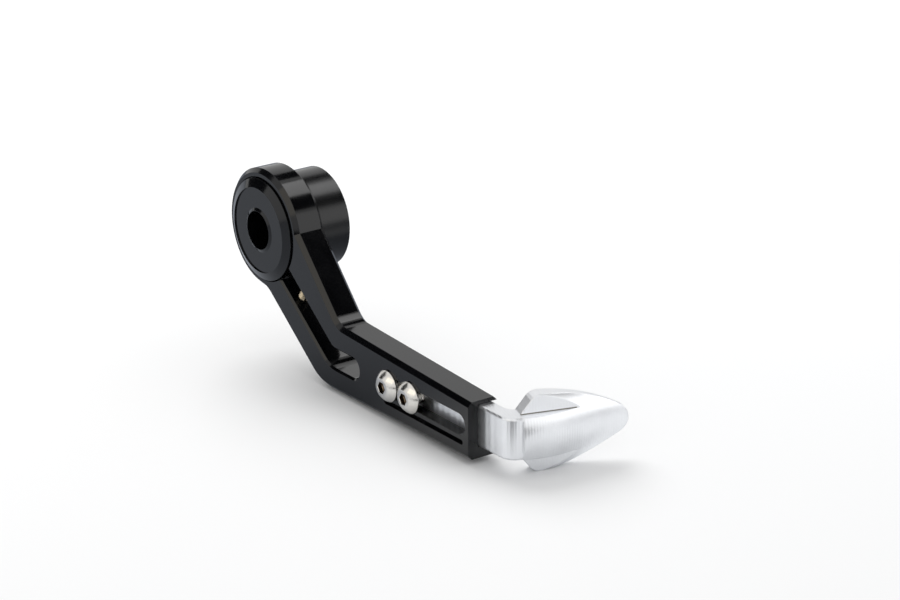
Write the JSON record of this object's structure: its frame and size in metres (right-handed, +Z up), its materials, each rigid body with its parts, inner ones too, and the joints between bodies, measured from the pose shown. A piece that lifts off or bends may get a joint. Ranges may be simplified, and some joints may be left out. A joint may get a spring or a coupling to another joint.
{
  "type": "brake lever guard",
  "caption": "Black bar-end lever guard: a split clamp ring and forked arm on a turned bush, with a sliding silver blade that shields the brake lever.",
  "frame": {"origin": "centre of the bush's rear face, where it seats on the end of the handlebar, on the axis of the bolt hole", "axes": "+Y along the bolt hole into the handlebar, +X along the arm's box towards the blade, +Z up as in the picture"},
  "size_m": [0.1362, 0.0422, 0.0571],
  "materials": {
    "black_anodised": "gloss black anodised",
    "silver_aluminium": "clear anodised, fine milled",
    "stainless": "bright stainless"
  },
  "bodies": {
    "bar_end": {"bush": "black_anodised"},
    "swing_arm": {"arm": "black_anodised", "clamp_screw": "stainless"},
    "slider": {"blade": "silver_aluminium", "blade_screws": "stainless"}
  },
  "joints": [
    {"name": "clamp_swivel", "type": "hinge", "parent": "bar_end", "child": "swing_arm", "pos_m": [0, 0, 0], "axis": [0, -1, 0], "continuous": true},
    {"name": "length_slide", "type": "slide", "parent": "swing_arm", "child": "slider", "axis": [1, 0, 0], "range_m": [0, 0.0226]}
  ]
}
